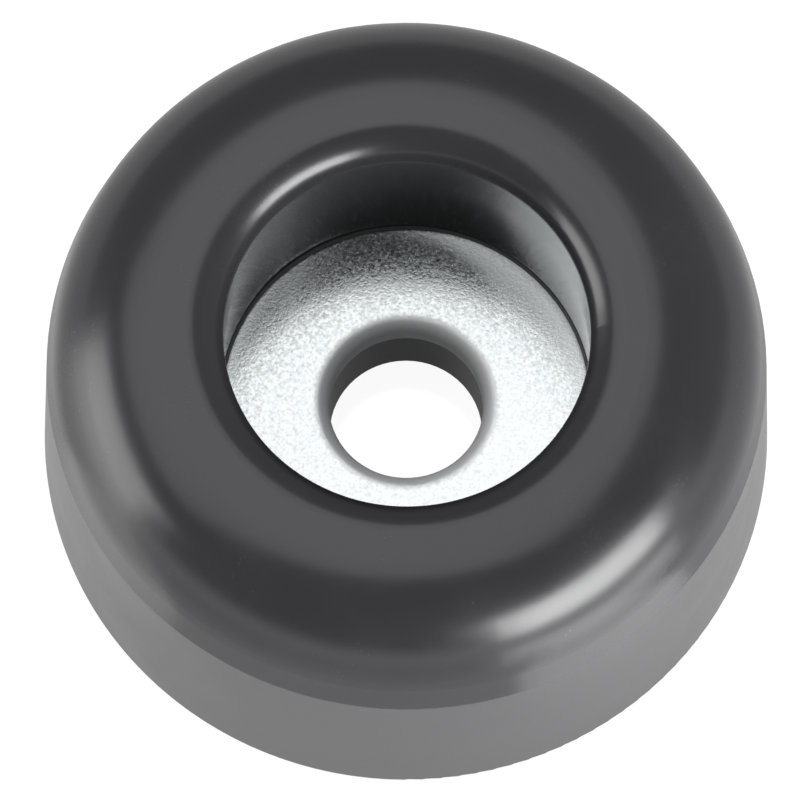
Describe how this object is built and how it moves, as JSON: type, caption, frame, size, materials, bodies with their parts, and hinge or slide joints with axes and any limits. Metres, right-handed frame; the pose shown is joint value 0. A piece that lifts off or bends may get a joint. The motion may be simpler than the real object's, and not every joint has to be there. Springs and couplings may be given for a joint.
{
  "type": "rubber foot",
  "caption": "Round rubber foot with a rounded shoulder, a deep well that narrows to a rolled lip, and a zinc-plated steel washer moulded in at its bottom.",
  "frame": {"origin": "centre of the flat base, on the axis of the foot", "axes": "+Z along the axis, from the mounting base towards the rounded contact face and the open well; the foot is round, so X and Y are free"},
  "size_m": [0.038, 0.038, 0.0175],
  "materials": {
    "rubber": "satin, dark grey to black, moulded",
    "zinc_steel": "bright zinc plating with a fine grain"
  },
  "bodies": {
    "root": {"body": "rubber", "washer": "zinc_steel"}
  },
  "joints": []
}
